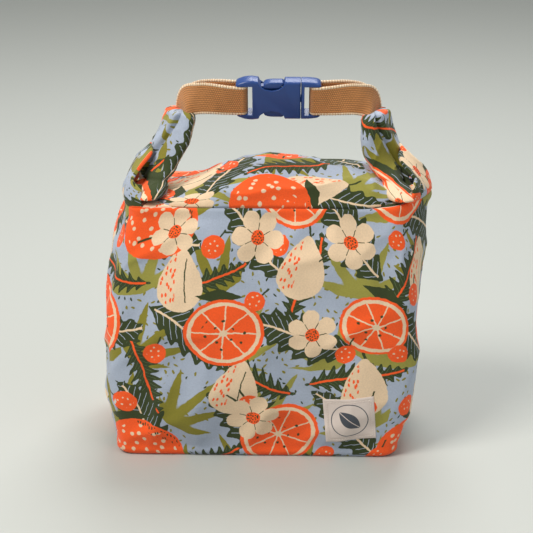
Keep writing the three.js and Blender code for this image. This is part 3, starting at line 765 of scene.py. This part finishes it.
def label_place(a, b, stand_off):
    """A point of the label by its shares across and up, stand_off metres before the canvas."""
    x = (a - 0.5) * LABEL_WIDTH
    z = (b - 0.5) * LABEL_HEIGHT
    across = LABEL_X + x * cos(LABEL_TURN) - z * sin(LABEL_TURN)
    up = LABEL_Z + x * sin(LABEL_TURN) + z * cos(LABEL_TURN)
    hit = canvas_now.ray_cast(Vector((across, -1, up)), Vector((0, 1, 0)))[0]
    return hit - Vector((0, stand_off, 0))


def label_point(a, b):
    edge = min(a, 1 - a, b, 1 - b)
    puff = 0.5 * MM * ramp(edge, 0, 0.06) + 0.35 * MM * ramp(edge, LABEL_HEM, 0.2)
    sewn = 0.4 * MM * hill(edge, LABEL_HEM, 0.018)
    wave = 0.25 * MM * soft_noise((a, b, 0), 0.25, 2.2)
    return label_place(a, b, 0.5 * MM + puff - sewn + wave)


def leaf_in_ring(cloth, colour):
    """The mark: a leaf with a pale midrib, leaning in a thin ring."""
    across, up, _ = split(cloth)
    x = across - LABEL_WIDTH / 2
    y = up - LABEL_HEIGHT / 2
    ring_ink = (distance(x, y) - LABEL_RING).size().below(0.4 * MM, 0.2 * MM)
    lean = ((x + y) * 0.7071).size()
    along = (y - x) * 0.7071 / LABEL_LEAF
    half = (along.made("POWER", 2) * -1 + 1).made("MAXIMUM", 0) * LABEL_LEAF_HALF
    midrib = lean.below(0.35 * MM, 0.1 * MM)
    leaf_ink = lean.below(half, 0.2 * MM) * (midrib * -1 + 1)
    return over(colour, LABEL_INK, ring_ink.made("MAXIMUM", leaf_ink))


label = sheet_mesh("label_patch", 60, 60, label_point, (LABEL_WIDTH, LABEL_HEIGHT))
thicken(label, LABEL_THICKNESS)
label.data.materials.append(
    plain_cloth("label_cotton", (0.70, 0.60, 0.55), 0.9, 0.8 * MM, 0.15 * MM, 0.2, leaf_in_ring))
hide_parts("label")
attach(label, "bag")
THREAD = 0.35 * MM


def thread_stitches(name, rows, look):
    """Short raised stitches: one small rounded bead of thread at each place, along its direction."""
    form = bmesh.new()
    for middle, along in rows:
        bead = bmesh.ops.create_icosphere(form, subdivisions=1, radius=1)["verts"]
        turn = along.to_track_quat("X", "Z").to_matrix()
        for vert in bead:
            shaped = Vector((vert.co.x * along.length / 2, vert.co.y * THREAD, vert.co.z * THREAD))
            vert.co = middle + turn @ shaped
    made = object_of(form, name)
    made.data.materials.append(look)
    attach(made, "bag")


def thread_finish(name, colour):
    """Sewing thread: a twist of lighter and darker strands."""
    finish, tree, shader = new_finish(name)
    place = new_node(tree, "ShaderNodeTexCoord").outputs["Object"]
    feed(shader["Base Color"], toned(colour, clouds(place, 2600, 2, "3D") * 0.5 + 0.75))
    feed(shader["Roughness"], 0.7)
    return finish


label_rows = []
STITCHES, STITCH_HALF, STITCHES_OUT = 15, 0.019, 1.35 * MM
for index in range(STITCHES):
    step = LABEL_HEM + (1 - 2 * LABEL_HEM) * (index + 0.5) / STITCHES
    for order in (1, -1):  # along the label's width, then its height
        for far_side in (LABEL_HEM, 1 - LABEL_HEM):
            ends = [(step + half, far_side)[::order] for half in (-STITCH_HALF, STITCH_HALF)]
            first, last = (label_place(a, b, STITCHES_OUT) for a, b in ends)
            label_rows.append(((first + last) / 2, last - first))
label_thread = thread_finish("label_thread", (0.74, 0.66, 0.60))
thread_stitches("label_stitches", label_rows, label_thread)


# The side seams: front and back are sewn together down the middle of each gusset with orange-brown
# thread, which lies in the seam's groove.
SEAM_FOOT, SEAM_PITCH, SEAM_STITCH = 8 * MM, 3 * MM, 2.3 * MM
SEAM_STITCHES = 67
seam_rows = []
for hand in (-1, 1):
    for index in range(SEAM_STITCHES):
        height = SEAM_FOOT + index * SEAM_PITCH
        found = canvas_now.ray_cast(Vector((hand, 0, height)), Vector((-hand, 0, 0)))[0]
        seam_rows.append((found, Vector((0, 0, SEAM_STITCH))))
seam_finish = thread_finish("seam_thread", (0.60, 0.20, 0.07))
thread_stitches("side_seam_stitches", seam_rows, seam_finish)


# The collar cloth: the bag's upper edge, folded back over the mouth. Its lining faces down.
ROOF_HEIGHT, ROOF_LINING_HEIGHT, ROOF_LINING = 221.2 * MM, 220.9 * MM, 0.6 * MM


def roof_point(s, t, inset):
    """A level point over the mouth: t runs from its middle out to the fold."""
    rim = ring_point(s, BODY_HEIGHT, inset)
    middle = Vector((BODY_LEAN, 0, 0))
    return middle + (Vector((rim.x, rim.y, 0)) - middle) * t


def collar_place(s, t):
    flat = roof_point(s, t, 3.4 * MM)
    lift = MM * ramp(1 - t, 0, 0.05)
    lift += 0.4 * MM * (1 + soft_noise(flat, 0.03, 4.4)) * ramp(1 - t, 0.02, 0.12)
    return Vector((flat.x, flat.y, ROOF_HEIGHT + lift + fold_lift(flat.x)))


collar_cloth = sheet_mesh("collar_cloth", 192, 30, collar_place, (RING, 0.08), look=canvas_finish)
cut_flat(collar_cloth, (0.3, 0.2))
thicken(collar_cloth, CANVAS)
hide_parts("collar_lining")
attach(collar_cloth, "top")


def top_lining_place(s, t):
    flat = roof_point(s, t, 3 * MM)
    return Vector((flat.x, flat.y, ROOF_LINING_HEIGHT + fold_lift(flat.x)))


top_lining = sheet_mesh("top_lining", 128, 12, top_lining_place, (RING, 0.08), look=lining_finish)
cut_flat(top_lining)
thicken(top_lining, ROOF_LINING)
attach(top_lining, "top")


# The rolled collar: the rest of the collar rolled up into a soft tube along the front fold, highest
# a little right of the middle, its ends drawn in under the ears.
SEAT = 222.8 * MM
ROLL_LEFT, ROLL_RIGHT = -84 * MM, 117 * MM
ROLL_FRONT, ROLL_BACK, ROLL_CREST = -51.6 * MM, 23.5 * MM, -13 * MM
TUCK = 1.6 * MM  # the roll's front foot lies down behind the pressed fold
ROLL_ARC = 0.62  # the share of the cloth that arches over; the rest lies flat below
ROLL_FOLDS_MEAN = 1.9 * MM  # taken off again, so that the roll keeps its size
ROLL_RIDGE = [(-80, 228), (-72, 231), (-53, 235), (-30, 245), (-8, 252.6), (8, 255), (30, 253),
              (54, 249.5), (75, 248.5), (90, 247), (103, 242), (112, 235)]


def along_ridge(x):
    """The ridge's height at x, smooth through the points of ROLL_RIDGE, which are in millimetres."""
    points = [(a * MM, b * MM) for a, b in ROLL_RIDGE]
    x = min(points[-1][0], max(points[0][0], x))
    for (x0, z0), (x1, z1) in zip(points, points[1:]):
        if x <= x1:
            return z0 + (z1 - z0) * ramp(x, x0, x1)


def roll_place(s, t):
    x = ROLL_LEFT + (ROLL_RIGHT - ROLL_LEFT) * t
    ridge = sum(along_ridge(x + d * MM) for d in (-8, -4, 0, 4, 8)) / 5
    seat = SEAT + fold_lift(x)
    high = ridge - seat
    drawn_in = sqrt(max(0, 1 - (2 * abs(t - 0.5)) ** 12))
    front, back = ROLL_FRONT * (0.35 + 0.65 * drawn_in), ROLL_BACK * drawn_in
    if s < ROLL_ARC:
        arc = s / ROLL_ARC
        turn = pi * arc
        reach = ROLL_CREST - front if arc < 0.5 else back - ROLL_CREST
        y = ROLL_CREST - reach * copysign(abs(cos(turn)) ** 0.86, cos(turn))
        z = seat + high * sin(turn) ** 0.72 * (0.3 + 0.7 * drawn_in) - TUCK * max(0, 1 - 8 * arc)
        out = Vector((0, -cos(turn), 0.4 + sin(turn))).normalized()
    else:
        under = (s - ROLL_ARC) / (1 - ROLL_ARC)
        y = back + (front - back) * under
        z = seat - TUCK * max(0, 8 * under - 7)
        out = Vector((0, 0, -1))
    place = Vector((x, y, z))
    along = Vector((x * 0.5, y, z))
    wave = 2.0 * MM * soft_noise(along, 0.026, 6.6) + 0.8 * MM * soft_noise(along, 0.010, 9.1)
    fold = 2.8 * MM * creases((x * 0.55 + y * 0.5, y * 0.8, z), 0.034, 3.4)
    drag = 2.8 * MM * creases((x + 0.5 * y, 0, z * 0.4), 0.022, 7.1)
    drag *= ramp(abs(x - 15 * MM), 0.045, 0.085)
    free = ramp(z, seat, seat + 0.010)
    return place + out * ((wave + fold + drag - ROLL_FOLDS_MEAN) * free * drawn_in)


rolled_collar = sheet_mesh("rolled_collar", 132, 200, roll_place, (0.21, 0.19), (0.05, 0.56), canvas_finish)
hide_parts("collar_roll")
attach(rolled_collar, "top")


# The back leaf: the back panel's upper edge, leaning forward from the rear fold to the roll.
LEAF_FOOT, LEAF_RUN = 50.5 * MM, 30 * MM
LEAF_LEFT, LEAF_LENGTH, LEAF_THICKNESS = -0.098, 0.214, 2.4 * MM
LEAF_SUNK = 8 * MM  # how far its edge lies below the roll's ridge


def leaf_place(s, t):
    x = LEAF_LEFT + LEAF_LENGTH * s
    inner = ramp(s, 0, 0.12) * ramp(1 - s, 0, 0.12)
    foot = SEAT - MM + fold_lift(x)
    rise = max(along_ridge(x) - LEAF_SUNK - foot, 3 * MM)
    z = foot + rise * sin(t * pi / 2) * (0.35 + 0.65 * inner)
    y = LEAF_FOOT - LEAF_RUN * t * t + 1.2 * MM * soft_noise((x, t * 0.05, 0), 0.022, 7.7)
    return Vector((x, y, z + 1.0 * MM * soft_noise((x, t * 0.04, 1), 0.018, 1.3) * t))


back_leaf = sheet_mesh("collar_back", 120, 24, leaf_place, (0.21, 0.04), (0.5, 0.11), canvas_finish)
thicken(back_leaf, LEAF_THICKNESS)
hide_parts("back_leaf")
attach(back_leaf, "top")


# The gusset folds: the side walls' upper ends, two layers thick, pulled up and in round the ears.
GUSSET_RISE, GUSSET_THICKNESS = 38 * MM, 3 * MM
GUSSET_BACK = 0.55  # how high the rear end stands, as a share
GUSSET_SUNK, GUSSET_RUN = 2.2 * MM, 96 * MM


def gusset_fold(name, hand, lean_in, bulge, cup, into_front, node, cloth_start):
    """A fold that starts into_front along the front and runs back along the side, up and in."""
    front_corner = BASE_DEPTH if hand < 0 else BASE_DEPTH + BASE_WIDTH

    def place(s, t):
        reach = front_corner - hand * (into_front - (into_front + GUSSET_RUN) * s)
        foot = round_sides(reach, (3, 0, 1), BODY_HEIGHT, 2.5 * MM)
        height = 0.42 + 0.58 * sin(min(1, s / 0.62) * pi / 2) ** 1.6
        height *= 1 - (1 - GUSSET_BACK) * ramp(s, 0.72, 1)
        crown = sin(min(1, t) * pi / 2)
        inward = lean_in * ramp(s, 0.02, 0.5) * (0.5 * t + 0.5 * t * t)
        cupped = 12 * MM * ramp(s, 0.7, 1) * t * t
        cupped -= cup * (1 - ramp(s, 0, 0.4)) * sin(pi * (0.1 + 0.65 * t))
        z = SEAT - GUSSET_SUNK + (GUSSET_RISE + GUSSET_SUNK) * height * (0.8 * t + 0.2 * crown)
        lift = fold_lift(foot.x) * (1 - t)
        flat = Vector((foot.x - hand * (inward + cupped), foot.y * (1 - 0.14 * t), z + lift))
        loose = ramp(t, 0, 0.35)
        wave = 1.6 * MM * soft_noise((flat.x, flat.y, z * 0.6), 0.019, 3.9 + hand)
        wave += 2.4 * MM * creases((flat.x, flat.y, z * 0.35), 0.026, 1.8 + hand) - 1.2 * MM
        belly = bulge * sin(pi * t ** 0.45) * sin(pi * s)
        return flat + Vector((hand * (wave * loose + belly), 0, 0))

    made = sheet_mesh(name, 90, 40, place, (0.12, 0.045), cloth_start, canvas_finish)
    thicken(made, GUSSET_THICKNESS, 0)
    rounding = made.modifiers.new("rounding", "SUBSURF")
    rounding.levels = rounding.render_levels = 1
    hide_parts(node)
    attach(made, "top")


gusset_fold("left_shoulder", -1, 20 * MM, 4.5 * MM, 3 * MM, 10 * MM, "left_gusset_fold", (0.31, 0.37))
gusset_fold("right_shoulder", 1, 25 * MM, 2.5 * MM, 9 * MM, -3 * MM, "right_gusset_fold", (0.77, 0.33))


# The ears: the flattened ends of the roll, stood up and leaning in, each with the fold of its outer
# layer down the front and a crease round its foot.
EAR_FOOT_HALF, EAR_TOP_HALF = 105 * MM, 79.5 * MM
EAR_TOP = 287 * MM
EAR_WIDTH, EAR_TOP_WIDTH = 42 * MM, 39 * MM
EAR_THICKNESS, EAR_TOP_THICKNESS = 23 * MM, 17 * MM
EAR_TURN, EAR_LOOK_TURN, EAR_FOOT_TURN = radians(25), radians(34), radians(6)
EAR_GROOVES = ((1.40, 0.30, 4.2 * MM, 1.9 * MM), (1.90, -0.2, 3.6 * MM, 1.6 * MM))
EAR_FORWARD = 33 * MM  # how far the foot comes forward into the roll's end
HANDLE_MIDDLE = 17 * MM


def ear(name, hand, node, cloth_start):
    """A flattened tube of cloth. Each groove has its place, its bend, its depth and its lip."""
    def place(s, t):
        angle = 2 * pi * s
        foot = min(1, t / 0.26)
        round_foot = sqrt(max(0, 1 - (1 - foot) ** 2))
        round_top = sqrt(max(0, 1 - (max(0, t - 0.92) / 0.08) ** 4))
        full = 1 + 0.16 * sin(pi * min(1, (t + 0.1) / 0.9))
        wide = (EAR_WIDTH + (EAR_TOP_WIDTH - EAR_WIDTH) * t) / 2
        wide *= full * (0.7 + 0.3 * round_foot)
        thick = (EAR_THICKNESS + (EAR_TOP_THICKNESS - EAR_THICKNESS) * t) / 2
        thick *= full * (0.9 + 0.1 * round_foot)
        grooves = 0.0
        for lie, bend, depth, lip in EAR_GROOVES:
            seam = pi * lie + bend * sin(t * 4.2)
            off = (angle - seam + pi) % (2 * pi) - pi
            grooves += lip * hill(off, 0.30, 0.24) - depth * hill(off, 0, 0.10)
        crease = -2.6 * MM * hill(t + 0.04 * cos(angle), 0.19, 0.032)
        crease += 2.0 * MM * hill(t, 0.09, 0.07)
        end = round_top * min(1, sqrt(t / 0.06))
        front = max(0, -cos(angle))
        wide *= 1 + front * (0.17 * hill(t, 0.66, 0.17) - 0.26 * ramp(t, 0.84, 1))
        flat = Vector((cos(angle) * wide, sin(angle) * thick, 0))
        outward = Vector((cos(angle) / wide, sin(angle) / thick, 0)).normalized()
        flat = (flat + outward * (grooves + crease)) * end
        look = EAR_FOOT_TURN + (EAR_LOOK_TURN - EAR_FOOT_TURN) * ramp(t, 0, 0.55)
        x = -flat.x * sin(look) + flat.y * cos(look)
        y = flat.x * cos(look) + flat.y * sin(look)
        middle = EAR_FOOT_HALF + 1.5 * MM + (EAR_TOP_HALF - EAR_FOOT_HALF - 1 * MM) * t
        middle += (0.5 - 2 * hand) * MM * (1 - t) ** 2 - 2.7 * MM * sin(pi * t) * (1 + hand)
        slope = 0.06 * x * ramp(t, 0.6, 1)
        up = t * (EAR_TOP + 4.2 * MM - SEAT) - slope
        forward = EAR_FORWARD * hill(t, 0, 0.24)
        spot = Vector((HANDLE_MIDDLE + hand * (middle - x), y - forward, SEAT + up))
        slack = Vector((spot.x, spot.y, spot.z * 0.45))
        wave = 1.4 * MM * soft_noise(slack, 0.016, 12.5 + hand)
        wave += 1.8 * MM * creases((spot.x * 1.3, spot.y * 1.3, spot.z * 0.5), 0.021, 5.2 + hand) - 0.9 * MM
        out = Vector((hand * -x, y, 0))
        return spot + out.normalized() * (wave * end) if out.length > 1e-6 else spot

    made = sheet_mesh(name, 144, 110, place, (0.12, 0.075), cloth_start, canvas_finish)
    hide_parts(node)
    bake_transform(made)


ear("left_ear_roll", -1, "left_ear", (0.13, 0.58))
ear("right_ear_roll", 1, "right_ear", (0.86, 0.44))


# The webbing: 25 mm flat woven tape, one loop from each ear round a bar of the buckle and back, with
# fine ribs across and a scalloped edge. Its orange-brown is painted shade, and its pale edge band is
# partly paler edge cord and partly painted highlight.
BUCKLE_HEIGHT = 301 * MM
BUCKLE_TILT = radians(18)
BUCKLE_X = 35.45 * MM
WEB_WIDTH, WEB_THICKNESS, WEB_BULGE = 25 * MM, 1.6 * MM, 2.5 * MM
BAR, BAR_THICKNESS, CLEAR = 4 * MM, 8 * MM, 0.3 * MM
ROOT_RISE, BAR_RUN = 22 * MM, 29 * MM
LAYER_SHARE = 0.43
WEB_LENGTH, WEB_EDGE, WEB_SUNK = 0.2, 1.4 * MM, 5 * MM
SCALLOP_WAVE = 2 * pi / (2.6 * MM)
CELL = 1.8 * MM


def woven_webbing():
    """Cotton webbing: rows of small picks along its length, uneven in tone, darkened to an orange-brown as
    painted shade, with a pale band along both edges that is partly edge cord and partly painted highlight.
    """
    finish, tree, shader = new_finish("webbing")
    cloth = new_node(tree, "ShaderNodeUVMap").outputs[0]
    along, width, _ = split(cloth)
    rows = (width * (pi / CELL)).sine().size()
    half_step = (width / CELL).made("FLOOR").made("MODULO", 2) * (pi / 2)
    picks = (along * (pi / CELL) + half_step).sine().size()
    relief = (rows * picks).made("POWER", 0.6)
    # Lit and shaded copies of the tape: the orange-brown ink is darker than the tape's own sand colour as
    # painted shade, and the pale band along both edges is partly paler edge cord and partly painted
    # highlight.
    inside = (width - WEB_WIDTH / 2).size().below(WEB_WIDTH / 2 - WEB_EDGE, 0.3 * MM)
    edge = (inside * -1 + 1) * ((along * SCALLOP_WAVE).sine() * 0.3 + 0.7)
    shaded_body_ink = toned((0.51, 0.212, 0.064), relief * 0.80 + clouds(cloth, 90, 5) * 0.30 + 0.42)
    colour = over(shaded_body_ink, (1.0, 0.83, 0.60), edge)
    coat(shader, colour, 0.85, bumped(relief, 0.9, 0.6 * MM), sheen=0.2)
    return finish


webbing_finish = woven_webbing()


def webbing_loop(name, hand, bar_x, node):
    """A loop of tape in two layers, from its ear up over a bend and in to the buckle's bar."""
    way = -hand
    root = Vector((HANDLE_MIDDLE + hand * EAR_TOP_HALF, 0, EAR_TOP - 2 * MM))
    bar = Vector((BUCKLE_X + bar_x, 0, BUCKLE_HEIGHT))
    posts = [root, root + Vector((0, 0, ROOT_RISE)), bar - Vector((way * BAR_RUN, 0, 0)), bar]
    wrap_x = BAR / 2 + 2 * CLEAR + WEB_THICKNESS / 2
    wrap_y = BAR_THICKNESS / 2 + 2 * CLEAR + WEB_THICKNESS / 2
    root_across = Vector((hand * sin(EAR_TURN), cos(EAR_TURN), 0))
    upright = Vector((0, 0, 1))
    bar_across = Vector((0, -sin(BUCKLE_TILT), cos(BUCKLE_TILT)))

    def centre_line(share):
        """A point of the curve that the four posts draw, and its direction."""
        line = posts
        while len(line) > 2:
            line = [p.lerp(q, share) for p, q in zip(line, line[1:])]
        return line[0].lerp(line[1], share), (line[1] - line[0]).normalized()

    def across(share):
        if share < 0.5:
            return root_across.lerp(upright, ramp(share, 0, 0.5)).normalized()
        return upright.lerp(bar_across, ramp(share, 0.5, 1)).normalized()

    def run(part):
        share = min(1, max(0, min(part, 1 - part) / LAYER_SHARE))
        layer_side = 1 if part < 0.5 else -1
        point, along = centre_line(share)
        width = across(share)
        normal = along.cross(width).normalized() * way
        if share < 1:
            apart = WEB_THICKNESS / 2 + CLEAR
            apart += (wrap_y - apart) * ramp(share, 0, 1)
            bulge = WEB_BULGE * sin(pi * share) ** 2
            return point + normal * layer_side * (apart + bulge), width
        turned = (part - LAYER_SHARE) / (1 - 2 * LAYER_SHARE) * pi
        point += normal * wrap_y * cos(turned)
        return point + Vector((way * wrap_x * sin(turned), 0, 0)), width

    def place(s, t):
        point, width = run(s)
        scallop = 0.75 * MM * sin(s * WEB_LENGTH * SCALLOP_WAVE)
        scallop *= ramp(abs(t - 0.5), 0.44, 0.5)
        reach = (t - 0.5) * WEB_WIDTH
        share = min(1, max(0, min(s, 1 - s) / LAYER_SHARE))
        sunk = WEB_SUNK * max(0, 1 - 2 * t) ** 2 * (1 - ramp(share, 0.12, 0.42))
        return point + width * (reach + copysign(scallop, t - 0.5)) - Vector((0, 0, sunk))

    made = sheet_mesh(name, 640, 30, place, (WEB_LENGTH, WEB_WIDTH), look=webbing_finish, merge=False)
    thicken(made, WEB_THICKNESS, 0)
    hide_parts(node)
    return made


left_webbing = webbing_loop("left_webbing_loop", -1, -48 * MM, "left_webbing")
right_webbing = webbing_loop("right_webbing_loop", 1, 11.1 * MM, "right_webbing")
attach(left_webbing, "handle")
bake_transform(right_webbing)


# The buckle: a side-release buckle in satin blue moulded plastic. The socket takes the plug, whose
# two springy prongs catch in its side windows. Every moulded edge is softened.
def moulded_plastic():
    """Satin blue plastic with a fine grain and a little haze."""
    finish, tree, shader = new_finish("blue_plastic")
    place = new_node(tree, "ShaderNodeTexCoord").outputs["Object"]
    grain = clouds(place, 1500, 3, "3D")
    haze = clouds(place, 60, 2, "3D")
    colour = toned((0.024, 0.064, 0.235), haze * 0.2 + 0.9)
    coat(shader, colour, haze * 0.12 + 0.26, bumped(grain, 0.12, 0.2 * MM), shine=0.35)
    return finish


plastic_finish = moulded_plastic()
MOULDED_EDGE, SHARP_FROM = 0.35 * MM, radians(35)


def moulding(name, node, body):
    """A moulded part with the shape of its solid, its flat faces joined and its edges softened."""
    form = bmesh.new()
    form.from_mesh(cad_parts[node].data)
    bmesh.ops.remove_doubles(form, verts=form.verts, dist=1e-5)
    bmesh.ops.dissolve_limit(form, angle_limit=radians(0.5), verts=form.verts, edges=form.edges)
    made = object_of(form, name)
    made.data.set_sharp_from_angle(angle=SHARP_FROM)
    softened = made.modifiers.new("softened_edges", "BEVEL")
    softened.width = MOULDED_EDGE
    softened.segments = 2
    softened.limit_method = "ANGLE"
    softened.angle_limit = SHARP_FROM
    made.data.materials.append(plastic_finish)
    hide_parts(node)
    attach(made, body)


moulding("socket_housing", "buckle_socket", "handle")
moulding("plug_base", "buckle_plug", "plug")
moulding("upper_spring_prong", "upper_prong", "upper_prong")
moulding("lower_spring_prong", "lower_prong", "lower_prong")
